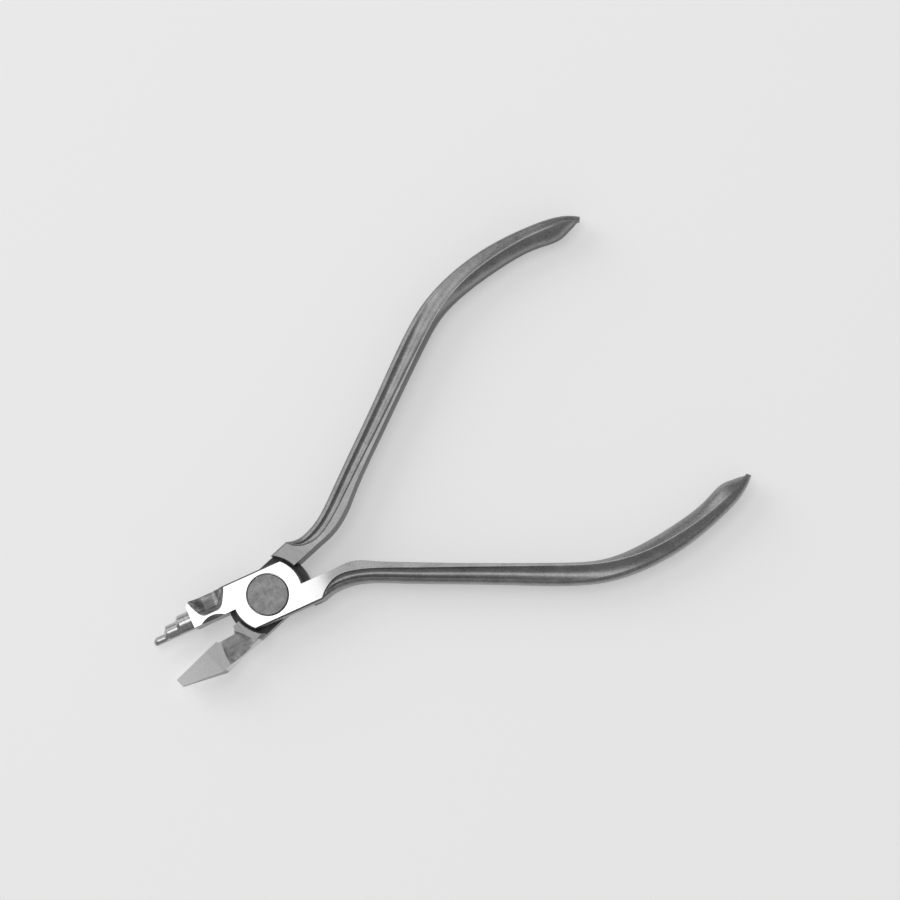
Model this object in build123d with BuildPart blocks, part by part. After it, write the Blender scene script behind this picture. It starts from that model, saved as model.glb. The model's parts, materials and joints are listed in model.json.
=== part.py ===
from build123d import *

import os
from collections import namedtuple
from math import atan2, cos, degrees, radians, sin, sqrt

# Stepped loop-forming pliers: two forged arms, lapped over each other and held by one flush rivet.
#
# Millimetres. +Z runs up through the front face, and the origin is on the pivot's axis at the
# back face. +X runs towards the handles, halfway between the two arms as they lie at rest.
#
# Each arm is drawn in a frame of its own: the pivot at the origin, its handle towards +X on the
# -Y side, and its jaw towards -X on the +Y side. The beaks' working edges lie on Y = 0, so they
# meet all along their length when the arms' frames come together.

# ---- overall sizes ----
rest_opening = 18.3  # degrees between the two arms at rest
joint_thickness = 8.0  # front face to back face
arm_half_width = 5.9  # pivot to the straight edge of an arm
straight_length = 42.5  # the straight stretch of each handle
# How far a handle's neck steps in, the degrees that it then leans away from its arm's axis, and
# the degrees that its grip curls back in.
HandleShape = namedtuple("HandleShape", "neck_step bend curl")
front_handle = HandleShape(neck_step=0.65, bend=25.2, curl=26.0)
back_handle = HandleShape(neck_step=1.35, bend=22.7, curl=27.3)

# ---- lap joint ----
front_plate_radius = 8.1  # round ends of the front arm's lap plate
back_plate_radius = 9.6  # round ends of the back arm's, which show between the handles
shoulder_gap = 0.45  # a plate's round end to the other arm's shoulder
lap_gap = 0.04  # between the two lap plates, along the rivet
edge_break = 0.35  # chamfer round the flat faces
recess_break = 0.2  # chamfer where a flat face ends at the other arm's plate

# ---- rivet ----
rivet_head_radius = 4.6
rivet_head_depth = 1.6
rivet_shank_radius = 2.75
rivet_tail_radius = 3.6
rivet_tail_depth = 1.1
head_ring_gap = 0.2  # the dark ring round the head
running_gap = 0.03  # radial, where the back arm turns on the rivet
tail_gap = 0.06  # radial, round the peened tail
head_edge = 0.25  # rounding of the head's rim

# ---- handles ----
handle_inset = 0.85  # axis line to the handle's straight inner edge
neck_start = 10.8  # pivot to the corner where the plate's outer edge ends
neck_length = 4.0
bend_radius = 18.0
bow_radius = 39.9  # outer edge of the bow that brings the handle back parallel to the axis
curl_radius = 58.0  # outer edge of the grip that curls back in
tip_curve_radius = 14.2  # the grip's end curls tighter, over the angle below
tip_angle = 22.5
handle_width = 4.6
grip_width = 5.4
waist_half_depth = 3.5
grip_half_depth = 3.9
rim_radius = 1.2  # rounding of the handle's outer rim
rim_crest = 1.05  # outer edge to the crest between rim and flute
root_draft = 0.04  # lean of the forged side wall just under its chamfer

# ---- stepped beak, on the front arm ----
collar_reach = 17.7  # pivot to the flat face that the round steps stand on
collar_corner = 1.0
Step = namedtuple("Step", "radius length shoulder")
beak_steps = [Step(2.2, 3.0, 0.8), Step(1.7, 2.4, 0.95), Step(0.95, 1.9, 0.5)]
tip_radius = 0.8  # the smallest step rounds down to this
nose_radius = 0.45
nose_length = 0.35

# ---- flat beak, on the back arm ----
flat_reach = 27.6  # pivot to the tip's end face
flat_tip_width = 1.9
flat_shoulder = 18.6  # pivot to the ridge where the taper begins
flat_tip_half_depth = 1.4
flat_ridge_half_depth = 3.6
flat_root = 14.2  # pivot to where the jaw has its full thickness again

# ---- hollows ground into the jaws ----
# Each is the mark of a drum-shaped stone that turns about a line along the jaw, out past the
# jaw's outer side: axis_offset is that line's distance from the arm's axis, and rise its height
# over the jaw's face. The drum runs from near to far, and tapers beyond them by the two flares.
Hollow = namedtuple("Hollow", "radius axis_offset rise near far near_flare far_flare dressing")
front_hollow = Hollow(8.45, 7.5, 5.85, near=10.7, far=15.1, near_flare=1.05, far_flare=0.82, dressing=2.2)
back_hollow = Hollow(10.4, 7.5, 7.6, near=11.0, far=14.4, near_flare=0.85, far_flare=0.8, dressing=2.2)
bevel_centre = 13.2  # shallow scoop along the front arm's inner edge, on each face
bevel_width = 0.95
bevel_length = 5.6
relief_start = 10.4  # the flat beak's inner edge is relieved between these
relief_end = 15.3
relief_deep = 1.4
relief_shallow = 0.5

overrun = 1.0  # how far the joint's cutters run out past the faces

# ---- worked out ----
mid_plane = joint_thickness / 2


def outer_edge(shape):
    """The outer edge of a handle in plan, from the neck to the tip, tangent all along."""
    neck_radius = (neck_length**2 + shape.neck_step**2) / (2 * shape.neck_step)
    neck_angle = 2 * atan2(shape.neck_step, neck_length)
    with BuildLine() as edge:
        start = (neck_start, -arm_half_width)
        neck = JernArc(start, (cos(neck_angle), sin(neck_angle)), neck_radius, -degrees(neck_angle))
        turn = JernArc(neck @ 1, neck % 1, bend_radius, -shape.bend)
        straight = Line(turn @ 1, turn @ 1 + (turn % 1) * straight_length)
        bow = JernArc(straight @ 1, straight % 1, bow_radius, shape.bend)
        curl = JernArc(bow @ 1, bow % 1, curl_radius, shape.curl)
        tip = JernArc(curl @ 1, curl % 1, tip_curve_radius, tip_angle)
    return edge.wire(), [part.length for part in (neck, turn, straight, bow, curl, tip)]


def section_plane(edge, distance):
    """A plane across the handle: local x runs inwards from the outer edge, local y is +Z."""
    point = edge.position_at(distance, position_mode=PositionMode.LENGTH)
    along = edge.tangent_at(distance, position_mode=PositionMode.LENGTH)
    inwards = Vector(-along.Y, along.X, 0)
    return Plane(origin=(point.X, point.Y, mid_plane), x_dir=inwards, z_dir=along)


def width_to_inner_edge(plane):
    """The distance across a section to the straight inner edge of the handle's root."""
    return (-handle_inset - plane.origin.Y) / plane.x_dir.Y


Station = namedtuple("Station", "at width half_depth lip ridge rim_drop flute_drop")


def handle_stations(edge, lengths):
    """Sections along the handle. lip and ridge bound the flat between the flute and the inner side."""
    neck, turn, straight, bow, curl, tip = lengths
    bend_end = neck + turn
    bow_start = bend_end + straight
    curl_start = bow_start + bow
    tip_start = curl_start + curl
    half = mid_plane

    def root(at, lip, rim_drop, flute_drop, half_depth):
        width = width_to_inner_edge(section_plane(edge, at))
        return Station(at, width, half_depth, lip, width, rim_drop, flute_drop)

    return [
        root(0.35 * neck, 1.25, 0.45, 0.5, half - 0.01),
        root(0.7 * neck, 2.0, 0.55, 0.85, half - 0.02),
        root(1.05 * neck, 2.6, 0.6, 1.05, half - 0.03),
        root(neck + 0.5 * turn, 2.9, 0.6, 1.15, half - 0.08),
        Station(bend_end, handle_width + 0.05, half - 0.18, 3.0, 4.55, 0.6, 1.2),
        Station(bend_end + 0.15 * straight, handle_width, half - 0.3, 3.2, 4.4, 0.6, 1.2),
        Station(bend_end + 0.4 * straight, handle_width, waist_half_depth, 3.5, 4.25, 0.6, 1.2),
        Station(bend_end + 0.7 * straight, handle_width + 0.15, waist_half_depth, 3.85, 4.35, 0.6, 1.15),
        Station(bow_start, handle_width + 0.45, waist_half_depth + 0.05, 4.2, 4.45, 0.7, 1.05),
        Station(bow_start + 0.5 * bow, grip_width - 0.4, waist_half_depth + 0.2, 3.95, 4.15, 0.85, 0.85),
        Station(curl_start, grip_width - 0.1, grip_half_depth - 0.05, 3.35, 3.55, 0.95, 0.75),
        Station(curl_start + 0.42 * curl, grip_width, grip_half_depth, 2.75, 2.95, 0.95, 0.68),
        Station(curl_start + 0.8 * curl, grip_width - 0.3, grip_half_depth - 0.2, 2.1, 2.3, 0.8, 0.55),
        Station(tip_start + 0.2 * tip, grip_width - 0.95, grip_half_depth - 0.55, 1.65, 1.85, 0.6, 0.4),
        Station(tip_start + 0.55 * tip, grip_width - 2.1, grip_half_depth - 1.15, 1.4, 1.55, 0.45, 0.3),
        Station(tip_start + 0.8 * tip, grip_width - 3.3, grip_half_depth - 1.8, 1.2, 1.3, 0.3, 0.22),
        Station(tip_start + 0.93 * tip, grip_width - 4.2, grip_half_depth - 2.4, 1.1, 1.17, 0.2, 0.17),
        Station(tip_start + tip, grip_width - 4.7, grip_half_depth - 2.8, 1.05, 1.1, 0.15, 0.12),
    ]


def handle(shape):
    """A forged handle: a rounded outer rim, a shallow flute down each face, and a rounded inner side."""
    edge, lengths = outer_edge(shape)
    root_plane = section_plane(edge, 0)
    root_width = width_to_inner_edge(root_plane)
    with BuildPart() as bar:
        with BuildSketch(root_plane):
            with BuildLine():
                wall_top = mid_plane - 2 * edge_break
                Line((0, -wall_top), (0, wall_top))
                for side in (1, -1):
                    break_start = (root_draft, side * (mid_plane - edge_break))
                    Line((0, side * wall_top), break_start)
                    Line(break_start, (edge_break, side * mid_plane))
                    Line((edge_break, side * mid_plane), (root_width, side * mid_plane))
                Line((root_width, -mid_plane), (root_width, mid_plane))
            make_face()
        for station in handle_stations(edge, lengths):
            crest = min(rim_crest, 0.5 * station.lip)
            top = station.half_depth - station.rim_drop
            radius = max(rim_radius, crest)
            rise = sqrt(radius**2 - (radius - crest) ** 2)
            shoulder = max(top - rise, 0.3 * top)
            with BuildSketch(section_plane(edge, station.at)):
                with BuildLine():
                    Line((0, -shoulder), (0, shoulder))
                    for side in (1, -1):
                        rim_middle = (0.27 * crest, side * (shoulder + 0.69 * (top - shoulder)))
                        valley = (0.55 * crest + 0.45 * station.lip, side * (station.half_depth - station.flute_drop))
                        lip = (station.lip, side * station.half_depth)
                        ThreePointArc((0, side * shoulder), rim_middle, (crest, side * top))
                        ThreePointArc((crest, side * top), valley, lip)
                        Line(lip, (station.ridge, side * station.half_depth))
                    inner = [(station.ridge, side * station.half_depth) for side in (-1, 1)]
                    if station.ridge < station.width:
                        ThreePointArc(inner[0], (station.width, 0), inner[1])
                    else:
                        Line(inner[0], inner[1])
                make_face()
        loft()
    return bar.part


def arm(jaw_outline, shape, plate_radius, other_plate_radius, plate_side):
    """An arm of full thickness, less the half of its joint that the other arm's plate turns in.

    plate_side is 1 for a lap plate on the front face's side, and -1 for one on the back face's side.
    """
    edge, lengths = outer_edge(shape)
    root_plane = section_plane(edge, 0)
    root_inner = root_plane.origin + root_plane.x_dir * width_to_inner_edge(root_plane)
    half_joint = mid_plane - lap_gap / 2
    with BuildPart() as blank:
        with BuildSketch(Plane.XY.offset(mid_plane + plate_side * mid_plane)):
            Circle(plate_radius)
            Rectangle(2 * plate_radius, 2 * arm_half_width, mode=Mode.INTERSECT)
        extrude(amount=-plate_side * half_joint)
        with BuildSketch():
            with BuildLine():
                Polyline((0, 0), *jaw_outline, (0, arm_half_width), close=True)
            make_face()
            with BuildLine():
                root = [(0, -handle_inset), (root_inner.X, root_inner.Y), (neck_start, -arm_half_width)]
                Polyline(*root, (0, -arm_half_width), close=True)
            make_face()
        extrude(amount=joint_thickness)
        face_edges = blank.edges().group_by(Axis.Z)[0] + blank.edges().group_by(Axis.Z)[-1]
        straight_sides = face_edges.filter_by(Axis.X).filter_by(
            lambda e: abs(abs(e.center().Y) - arm_half_width) < edge_break
        )
        chamfer(straight_sides + face_edges.filter_by(GeomType.CIRCLE), edge_break)
        add(handle(shape))
        recess_radius = other_plate_radius + shoulder_gap
        outside = Plane.XY.offset(mid_plane - plate_side * (mid_plane + overrun))
        with BuildSketch(outside):
            Circle(recess_radius)
        extrude(amount=plate_side * (overrun + mid_plane + lap_gap / 2), mode=Mode.SUBTRACT)
        with BuildSketch(outside):
            Circle(recess_radius + recess_break + overrun)
        extrude(amount=plate_side * (overrun + recess_break), taper=45, mode=Mode.SUBTRACT)
    return blank.part


def hollow_cutters(hollow):
    """The drum-shaped stones that grind a jaw's two faces. The hollows deepen towards its outer side."""
    near_end = hollow.near - hollow.near_flare * hollow.radius
    far_end = hollow.far + hollow.far_flare * hollow.radius
    with BuildPart() as cutters:
        for side in (1, -1):
            spindle = Plane(
                origin=(0, hollow.axis_offset, mid_plane + side * (mid_plane + hollow.rise)),
                x_dir=(-1, 0, 0),
                z_dir=(0, 0, 1),
            )
            with BuildSketch(spindle) as profile:
                with BuildLine():
                    rim = [(hollow.near, hollow.radius), (hollow.far, hollow.radius)]
                    Polyline((near_end, 0), *rim, (far_end, 0), close=True)
                make_face()
                fillet(profile.vertices().group_by(Axis.Y)[-1], hollow.dressing)
            revolve(axis=Axis(spindle.origin, (1, 0, 0)))
    return cutters.part


with BuildPart() as front_arm:
    collar = (-collar_reach, arm_half_width - collar_corner)
    corner = (-collar_reach + collar_corner, arm_half_width)
    jaw = [(-collar_reach, 0), collar, corner]
    add(arm(jaw, front_handle, front_plate_radius, back_plate_radius, plate_side=1))

    add(hollow_cutters(front_hollow), mode=Mode.SUBTRACT)

    # The scoops along the inner edge, ground by a small wheel that leans over at 45 degrees.
    scoop_depth = bevel_width / sqrt(2)
    wheel_radius = ((bevel_length / 2) ** 2 + scoop_depth**2) / (2 * scoop_depth)
    hub = (wheel_radius - scoop_depth) / sqrt(2)
    for side in (1, -1):
        wheel = Plane(
            origin=(-bevel_centre, -hub, mid_plane + side * (mid_plane + hub)),
            x_dir=(1, 0, 0),
            z_dir=(0, 1, side),
        )
        with BuildSketch(wheel):
            Circle(wheel_radius)
        extrude(amount=2 * bevel_width, both=True, mode=Mode.SUBTRACT)

    # The round steps, each tangent to the working edge, with a slanting shoulder down to the next.
    base = -collar_reach
    ends = [step.radius for step in beak_steps[1:]] + [tip_radius]
    for step, end_radius in zip(beak_steps, ends):
        for start, radii in ((base, (step.radius, step.radius)), (base - step.length, (step.radius, end_radius))):
            length = step.length if radii[0] == radii[1] else step.shoulder
            for place, radius in zip((start, start - length), radii):
                with BuildSketch(Plane.YZ.offset(place)):
                    with Locations((radius, mid_plane)):
                        Circle(radius)
            loft()
        base -= step.length + step.shoulder
    for place, radius in ((base, tip_radius), (base - nose_length, nose_radius)):
        with BuildSketch(Plane.YZ.offset(place)):
            with Locations((tip_radius, mid_plane)):
                Circle(radius)
    loft()

    # Bore and counterbore for the rivet, which is fixed in this arm.
    with Locations((0, 0, joint_thickness)):
        Hole(rivet_shank_radius, depth=joint_thickness)
    with BuildSketch(Plane.XY.offset(joint_thickness - rivet_head_depth)):
        Circle(rivet_head_radius + head_ring_gap)
    extrude(amount=rivet_head_depth, mode=Mode.SUBTRACT)

with BuildPart() as back_arm:
    jaw = [(-flat_reach, 0), (-flat_reach, flat_tip_width), (-flat_shoulder, arm_half_width)]
    add(arm(jaw, back_handle, back_plate_radius, front_plate_radius, plate_side=-1))

    # The beak thins towards its tip on both faces, in two facets that meet on a ridge.
    with BuildSketch(Plane.XZ):
        for side in (1, -1):
            with BuildLine():
                Polyline(
                    (-flat_root, mid_plane + side * mid_plane),
                    (-flat_shoulder, mid_plane + side * flat_ridge_half_depth),
                    (-flat_reach, mid_plane + side * flat_tip_half_depth),
                    (-flat_reach, mid_plane + side * 2 * mid_plane),
                    (-flat_root, mid_plane + side * 2 * mid_plane),
                    close=True,
                )
            make_face()
    extrude(amount=-2 * arm_half_width, mode=Mode.SUBTRACT)

    add(hollow_cutters(back_hollow), mode=Mode.SUBTRACT)

    # The inner edge is relieved behind the working length, deepest next to the joint.
    with BuildSketch():
        with BuildLine():
            Polyline(
                (-relief_start, -relief_deep),
                (-relief_start, relief_shallow),
                (-relief_start - relief_deep + relief_shallow, relief_deep),
                (-relief_end, relief_shallow),
                (-relief_end, -relief_deep),
                close=True,
            )
        make_face()
    extrude(amount=joint_thickness, mode=Mode.SUBTRACT)

    # The bore turns on the rivet, and the counterbore clears its peened tail.
    with Locations((0, 0, joint_thickness)):
        Hole(rivet_shank_radius + running_gap, depth=joint_thickness)
    with BuildSketch():
        Circle(rivet_tail_radius + tail_gap)
    extrude(amount=rivet_tail_depth + lap_gap, mode=Mode.SUBTRACT)

    mirror(about=Plane.XZ, mode=Mode.REPLACE)

with BuildPart() as pivot_rivet:
    with BuildSketch():
        Circle(rivet_tail_radius)
    extrude(amount=rivet_tail_depth)
    with BuildSketch(Plane.XY.offset(rivet_tail_depth)):
        Circle(rivet_shank_radius)
    extrude(amount=joint_thickness - rivet_tail_depth - rivet_head_depth)
    with BuildSketch(Plane.XY.offset(joint_thickness - rivet_head_depth)):
        Circle(rivet_head_radius)
    extrude(amount=rivet_head_depth)
    head_rim = pivot_rivet.edges().filter_by(GeomType.CIRCLE).group_by(Axis.Z)[-1]
    fillet(head_rim, head_edge)

# Each arm swings half the rest opening away from the centre line.
with BuildPart() as front_placed:
    add(front_arm.part, rotation=(0, 0, -rest_opening / 2))
front_placed.part.label = "front_arm"

with BuildPart() as back_placed:
    add(back_arm.part, rotation=(0, 0, rest_opening / 2))
back_placed.part.label = "back_arm"

pivot_rivet.part.label = "pivot_rivet"

os.makedirs("parts", exist_ok=True)
for piece in (front_placed.part, back_placed.part, pivot_rivet.part):
    export_step(piece, f"parts/{piece.label}.step")
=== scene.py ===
import json
import math
import bpy
from mathutils import Matrix, Vector


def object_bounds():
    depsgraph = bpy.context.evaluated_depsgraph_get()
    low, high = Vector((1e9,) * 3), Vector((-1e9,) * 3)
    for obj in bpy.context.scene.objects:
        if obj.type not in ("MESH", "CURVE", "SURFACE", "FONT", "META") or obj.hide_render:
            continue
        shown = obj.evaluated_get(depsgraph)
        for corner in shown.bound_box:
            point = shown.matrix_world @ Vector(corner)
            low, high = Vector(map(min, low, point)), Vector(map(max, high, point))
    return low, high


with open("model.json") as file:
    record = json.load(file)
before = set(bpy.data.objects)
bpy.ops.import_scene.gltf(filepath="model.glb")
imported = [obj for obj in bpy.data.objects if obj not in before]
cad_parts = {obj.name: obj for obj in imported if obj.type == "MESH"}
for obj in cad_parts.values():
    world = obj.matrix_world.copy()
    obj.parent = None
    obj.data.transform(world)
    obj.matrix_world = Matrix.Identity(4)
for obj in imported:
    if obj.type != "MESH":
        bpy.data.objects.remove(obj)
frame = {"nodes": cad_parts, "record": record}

cad_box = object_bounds()


# ---------------------------------------------------------------------------------------------
# The front arm. One stainless forging: the front lap plate, the stepped round beak and a fluted
# handle. The forging is tumbled to a satin grey, then its joint face and its beak are ground
# bright by hand, and a small stone grinds the hollows behind the beak.

class Shade:
    """A number that varies over a surface. Sums, products and powers of it add Math nodes."""

    def __init__(self, finish, socket):
        self.finish = finish
        self.socket = socket

    def math(self, operation, *others):
        return self.finish.node("ShaderNodeMath", {"operation": operation}, dict(enumerate((self, *others))))

    def __add__(self, other):
        return self.math("ADD", other)

    def __sub__(self, other):
        return self.math("SUBTRACT", other)

    def __mul__(self, other):
        return self.math("MULTIPLY", other)

    def __pow__(self, other):
        return self.math("POWER", other)

    def __radd__(self, other):
        return self + other

    def __rmul__(self, other):
        return self * other

    def __rsub__(self, other):
        return self * -1.0 + other

    def __abs__(self):
        return self.math("ABSOLUTE")

    def above(self, edge, softness):
        """0 below the edge, 1 above it, with a smooth step of that softness between."""
        limits = {"Value": self, "From Min": edge - softness / 2, "From Max": edge + softness / 2}
        return self.finish.node("ShaderNodeMapRange", {"interpolation_type": "SMOOTHSTEP"}, limits)

    def below(self, edge, softness):
        return 1.0 - self.above(edge, softness)

    def between(self, low, high, softness):
        return self.above(low, softness) * self.below(high, softness)


class Finish:
    """A steel finish: a Principled shader, and the nodes that feed it.

    x, y and z are in millimetres in the arm's own frame: the pivot at the origin, the handle
    towards +X. facing is how squarely a place faces the front or the back.
    """

    def __init__(self, name, swing=0.0, **constants):
        self.material = bpy.data.materials.new(name)
        self.material.use_nodes = True
        self.tree = self.material.node_tree
        self.shader = self.tree.nodes["Principled BSDF"]
        for socket, value in {"Metallic": 1.0, **constants}.items():
            self.shader.inputs[socket.replace("_", " ")].default_value = value
        object_place = self.node("ShaderNodeTexCoord", {}, {}, "Object")
        turn = {"Vector": object_place, "Rotation": (0.0, 0.0, -swing), "Scale": (1000.0, 1000.0, 1000.0)}
        self.place = self.node("ShaderNodeMapping", {"vector_type": "POINT"}, turn)
        axes = (self.node("ShaderNodeSeparateXYZ", {}, {0: self.place}, axis) for axis in "XYZ")
        self.x, self.y, self.z = axes
        normal = self.node("ShaderNodeTexCoord", {}, {}, "Normal")
        self.facing = abs(self.node("ShaderNodeSeparateXYZ", {}, {0: normal}, "Z"))

    def node(self, kind, settings, inputs, output=0):
        """Add a node: its settings first, a ramp's stops among them, then its sockets' values and links."""
        made = self.tree.nodes.new(kind)
        for key, value in settings.items():
            if key == "stops":
                while len(made.color_ramp.elements) < len(value):
                    made.color_ramp.elements.new(0.5)
                for element, (position, grey) in zip(made.color_ramp.elements, value):
                    element.position = position
                    element.color = (grey, grey, grey, 1.0)
            else:
                setattr(made, key, value)
        for key, value in inputs.items():
            if isinstance(value, Shade):
                self.tree.links.new(value.socket, made.inputs[key])
            else:
                made.inputs[key].default_value = value
        return Shade(self, made.outputs[output])

    def noise(self, size, detail=3.0, stretch=(1.0, 1.0, 1.0), turn=0.0):
        """Noise whose blotches are about that many millimetres across, longer where stretch is under 1."""
        settings = {"vector_type": "POINT"}
        mapping = {"Vector": self.place, "Rotation": (0.0, 0.0, turn), "Scale": stretch}
        mapped = self.node("ShaderNodeMapping", settings, mapping)
        inputs = {"Vector": mapped, "Scale": 1.0 / size, "Detail": detail, "Roughness": 0.6}
        return self.node("ShaderNodeTexNoise", {"noise_dimensions": "3D"}, inputs)

    def grey(self, level):
        """Turn a brightness into the neutral, very slightly cool grey of stainless steel."""
        channels = {"Red": level, "Green": level, "Blue": level * 1.012}
        return self.node("ShaderNodeCombineColor", {"mode": "RGB"}, channels)

    def bump(self, height, depth):
        """Relief that stands up to depth millimetres."""
        return self.node("ShaderNodeBump", {}, {"Distance": depth / 1000.0, "Height": height}, "Normal")

    def feed(self, **sockets):
        for name, value in sockets.items():
            self.tree.links.new(value.socket, self.shader.inputs[name.replace("_", " ")])


# Half the opening at rest, read from the direction in which the stepped beak points.
step_axis = next(m["axis"] for m in frame["record"]["mounts"] if m["name"] == "step_large")
half_opening = math.atan2(-step_axis[1], -step_axis[0])
# Places along an arm's axis and across its thickness, in mm.
lap_face = 4.0  # where the two lap plates meet
front_face = 8.0
collar_face = -17.7  # the front jaw's end, where the round steps begin
hollow_start = -7.5
root_end = 13.0  # where the dressed flats give way to the forging's skin
beak_root = -14.3
beak_ridge = -18.6
recess_radius = 8.56
web_radius = 9.7  # the part of the back plate that shows between the handles
relief_depth = 0.012


def forged_steel(steel):
    """The tumbled satin surface of a forging: brightness, roughness and relief."""
    scale = steel.noise(0.30, 4.0)
    cloud = steel.noise(3.5, 3.0)
    level = 0.31 + (scale - 0.5) * 0.50 + (cloud - 0.5) * 0.20
    rough = 0.40 + (scale - 0.5) * 0.24
    return level, rough, scale


def mix(share, first, second):
    """first where share is 0, second where it is 1."""
    return share * (second - first) + first


front = Finish("front_arm_steel", half_opening)
level, rough, relief = forged_steel(front)
at_head = front.x.below(root_end, 5.0)
flat = front.facing.above(0.985, 0.02)
grain = front.noise(0.16, 2.0, stretch=(1.0, 0.12, 1.0), turn=0.5)
pits = front.noise(0.5, 2.0).above(0.70, 0.04)

# The joint face and the beak's collar, ground and buffed.
plate = at_head * flat
# The plate's grey falls off towards the handle.
fade_towards_handle = front.x.above(7.0, 9.0) * 0.20
level = mix(plate, level, 0.68 - fade_towards_handle + (grain - 0.5) * 0.16 - pits * 0.14)
rough = mix(plate, rough, 0.26 + (grain - 0.5) * 0.10)
# The head's sloping chamfers are painted dark by their slope: painted shade.
chamfer_shade = at_head * front.facing.between(0.55, 0.85, 0.1)

# The hollows, as the stone left them, and the plate's chamfers, painted dark: painted shade.
hollow = front.x.between(collar_face, hollow_start, 0.4) * (1.0 - flat)
stone_lines = front.noise(0.22, 2.0, stretch=(0.10, 1.0, 1.0))
bands = front.noise(0.9, 1.0, stretch=(0.22, 1.0, 1.0))
level = mix(hollow, level, 0.26 + (stone_lines - 0.5) * 0.20 + (bands - 0.5) * 0.70)
level = mix(chamfer_shade * front.x.above(-9.0, 0.5), level, 0.16)
rough = mix(hollow, rough, 0.30 + (stone_lines - 0.5) * 0.12)

# The round steps, turned and polished.
steps = front.x.below(collar_face - 0.05, 0.1)
turning = front.noise(0.10, 1.0, stretch=(1.0, 0.02, 0.02))
level = mix(steps, level, 0.50 + (turning - 0.5) * 0.40)
rough = mix(steps, rough, 0.24 + (turning - 0.5) * 0.08)

# The faces below the lap face near the joint are painted nearly black: painted shade between the arms.
lap_shade = front.z.below(lap_face + 0.2, 0.1) * front.x.between(-10.0, 10.0, 0.5)
level = mix(lap_shade * front.z.above(0.5, 0.2), level, 0.10)

relief = relief + stone_lines * hollow
front.feed(Base_Color=front.grey(level), Roughness=rough, Normal=front.bump(relief, relief_depth))
front_arm = frame["nodes"]["front_arm"]
front_arm.data.materials.clear()
front_arm.data.materials.append(front.material)


# ---------------------------------------------------------------------------------------------
# The back arm. The same forging steel, with the back lap plate and a flat tapered beak. Its joint
# flats are dressed across the arm with a file, and the beak's faces are ground paler and finer.

back = Finish("back_arm_steel", -half_opening)
level, rough, relief = forged_steel(back)
at_head = back.x.below(12.5, 3.0)
flat = back.facing.above(0.985, 0.02)
file_lines = back.noise(0.22, 2.0, stretch=(1.0, 0.07, 1.0), turn=0.15)
level = mix(at_head * flat, level, 0.31 + (file_lines - 0.5) * 0.34)
rough = mix(at_head * flat, rough, 0.42 + (file_lines - 0.5) * 0.12)

beak = back.x.below(beak_root, 0.5) * back.facing.above(0.9, 0.05)
fine_grain = back.noise(0.20, 3.0)
# The beak is ground paler and finer than the flats; beyond the ridge it is painted paler still and brighter
# towards the tip: painted highlight.
taper = back.x.below(beak_ridge, 0.3)
beak_level = mix(taper, 0.52, 0.84) + back.x.below(-23.0, 9.0) * 0.12
level = mix(beak, level, beak_level + (fine_grain - 0.5) * 0.50)
rough = mix(beak, rough, 0.48 + (fine_grain - 0.5) * 0.14)

hollow = back.x.between(-18.0, -8.0, 0.4) * back.facing.below(0.97, 0.03) * (1.0 - beak)
stone_lines = back.noise(0.22, 2.0, stretch=(0.10, 1.0, 1.0))
bands = back.noise(0.9, 1.0, stretch=(0.22, 1.0, 1.0))
# The back hollows are painted far paler than the front arm's: painted reflection over the stone's real
# lines.
level = mix(hollow, level, 0.66 + (stone_lines - 0.5) * 0.26 + (bands - 0.5) * 0.90)
rough = mix(hollow, rough, 0.32 + (stone_lines - 0.5) * 0.12)

# The recess under the front plate and the web between the handles are painted nearly black: painted shade.
from_pivot = (back.x**2 + back.y**2) ** 0.5
web = from_pivot.below(web_radius, 0.1) * back.y.below(3.0, 1.0)
in_recess = mix(web, from_pivot.below(recess_radius, 0.1), 1.0)
lap_shade = back.z.between(lap_face - 0.2, front_face - 0.4, 0.1) * in_recess
level = mix(lap_shade, level, 0.05)

# The handle's steep side walls are painted dark: painted shade.
side_wall_shade = back.facing.below(0.35, 0.3) * back.x.above(9.0, 1.0)
level = mix(side_wall_shade, level, 0.13)

relief = relief + file_lines * flat
back.feed(Base_Color=back.grey(level), Roughness=rough, Normal=back.bump(relief, relief_depth))
back_arm = frame["nodes"]["back_arm"]
back_arm.data.materials.clear()
back_arm.data.materials.append(back.material)


# ---------------------------------------------------------------------------------------------
# The pivot rivet. A plain steel pin whose head is peened into the front plate and ground flush.
# It is left duller than the plate, mottled by the hammer and by the last strokes of the file.

rivet = Finish("rivet_steel")
mottle = rivet.noise(1.6, 4.0)
speckle = rivet.noise(0.18, 3.0)
strokes = rivet.noise(0.25, 2.0, stretch=(1.0, 0.08, 1.0), turn=-0.5)
level = 0.27 + (mottle - 0.5) * 0.36 + (speckle - 0.5) * 0.30 + (strokes - 0.5) * 0.16
rivet.feed(
    Base_Color=rivet.grey(level),
    Roughness=0.46 + (speckle - 0.5) * 0.2,
    Normal=rivet.bump(mottle * 2.0 + speckle, 0.02),
)
pivot_rivet = frame["nodes"]["pivot_rivet"]
pivot_rivet.data.materials.clear()
pivot_rivet.data.materials.append(rivet.material)


# ---------------------------------------------------------------------------------------------
# The studio: a pale floor under the pliers, a small softbox almost straight overhead and a wide
# fill from the upper left.

low, high = cad_box
middle = (low + high) / 2

bpy.ops.mesh.primitive_plane_add(size=6.0, location=(middle.x, middle.y, low.z - 0.0005))
floor = bpy.context.object
floor.name = "studio_floor"
floor_paint = bpy.data.materials.new("floor_paint")
floor_paint.use_nodes = True
paint = floor_paint.node_tree.nodes["Principled BSDF"]
paint.inputs["Base Color"].default_value = (0.92, 0.92, 0.92, 1.0)
paint.inputs["Roughness"].default_value = 0.95
paint.inputs["Emission Color"].default_value = (1.0, 1.0, 1.0, 1.0)
paint.inputs["Emission Strength"].default_value = 0.30
floor.data.materials.append(floor_paint)

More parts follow.
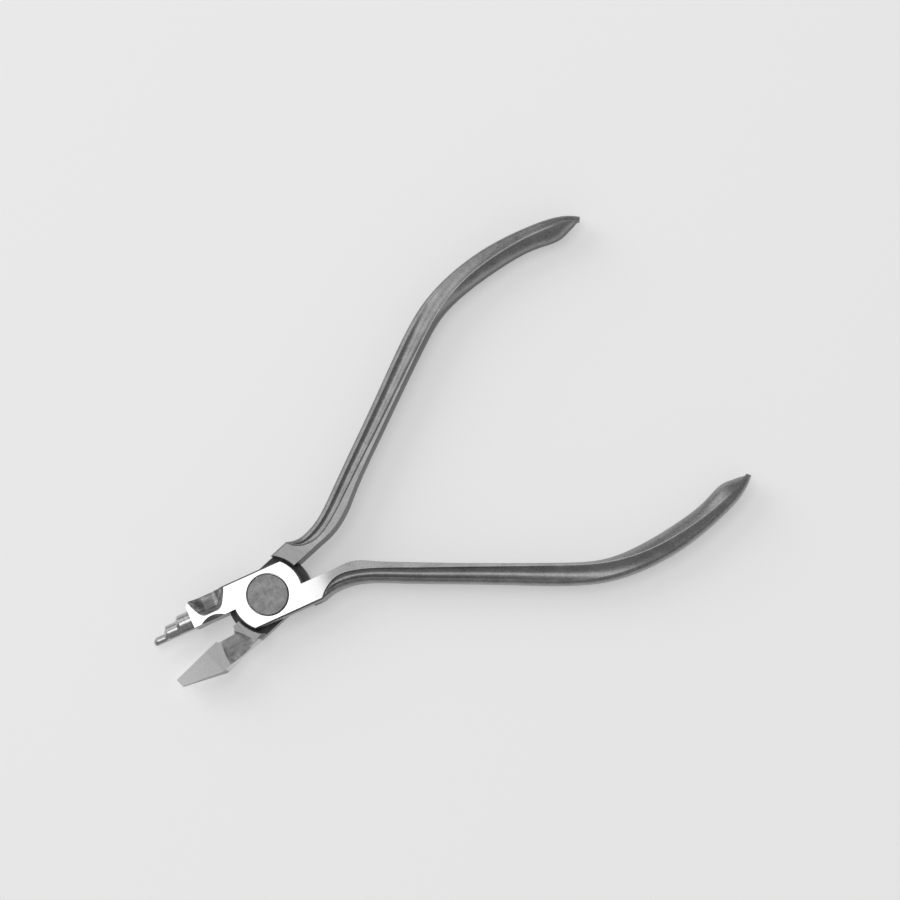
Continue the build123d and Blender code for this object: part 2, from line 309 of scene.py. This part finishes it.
image_turn = math.radians(33.61)
image_right = Vector((math.cos(image_turn), -math.sin(image_turn), 0.0))
image_up = Vector((math.sin(image_turn), math.cos(image_turn), 0.0))


def softbox(name, across, up, height, size, radiance):
    """An area light aimed at the pliers, placed by its offsets across and up the picture."""
    light = bpy.data.lights.new(name, "AREA")
    light.shape = "RECTANGLE"
    light.size, light.size_y = size
    light.energy = radiance * math.pi * light.size * light.size_y
    lamp = bpy.data.objects.new(name, light)
    lamp.location = middle + image_right * across + image_up * up + Vector((0.0, 0.0, height))
    lamp.rotation_mode = "QUATERNION"
    lamp.rotation_quaternion = (lamp.location - middle).to_track_quat("Z", "Y")
    bpy.context.scene.collection.objects.link(lamp)


softbox("overhead_softbox", -0.12, 0.14, 1.2, (0.60, 0.60), 2.1)
softbox("upper_left_fill", -1.3, 0.9, 1.0, (1.2, 1.4), 1.3)

world = bpy.data.worlds.new("studio")
bpy.context.scene.world = world
world.use_nodes = True
world.node_tree.nodes["Background"].inputs["Color"].default_value = (1.0, 1.0, 1.0, 1.0)
world.node_tree.nodes["Background"].inputs["Strength"].default_value = 0.30

# The camera looks almost straight down, from a little towards the front arm's side.
camera_distance = 1.0
picture_width = 0.19816
look_at = Vector((0.05108, 0.00447, high.z))
tilt = math.radians(7.0)
lean = math.radians(-50.0)
lean_direction = image_right * math.cos(lean) + image_up * math.sin(lean)
backwards = lean_direction * math.sin(tilt) + Vector((0.0, 0.0, 1.0)) * math.cos(tilt)
right = (image_right - backwards * image_right.dot(backwards)).normalized()
upwards = backwards.cross(right)
camera_data = bpy.data.cameras.new("studio_camera")
camera_data.sensor_width = 36.0
camera_data.lens = camera_data.sensor_width * camera_distance / picture_width
camera = bpy.data.objects.new("studio_camera", camera_data)
camera_turn = Matrix((right, upwards, backwards)).transposed().to_4x4()
camera.matrix_world = Matrix.Translation(look_at + backwards * camera_distance) @ camera_turn
bpy.context.scene.collection.objects.link(camera)
bpy.context.scene.camera = camera
bpy.context.scene.view_settings.view_transform = "Standard"
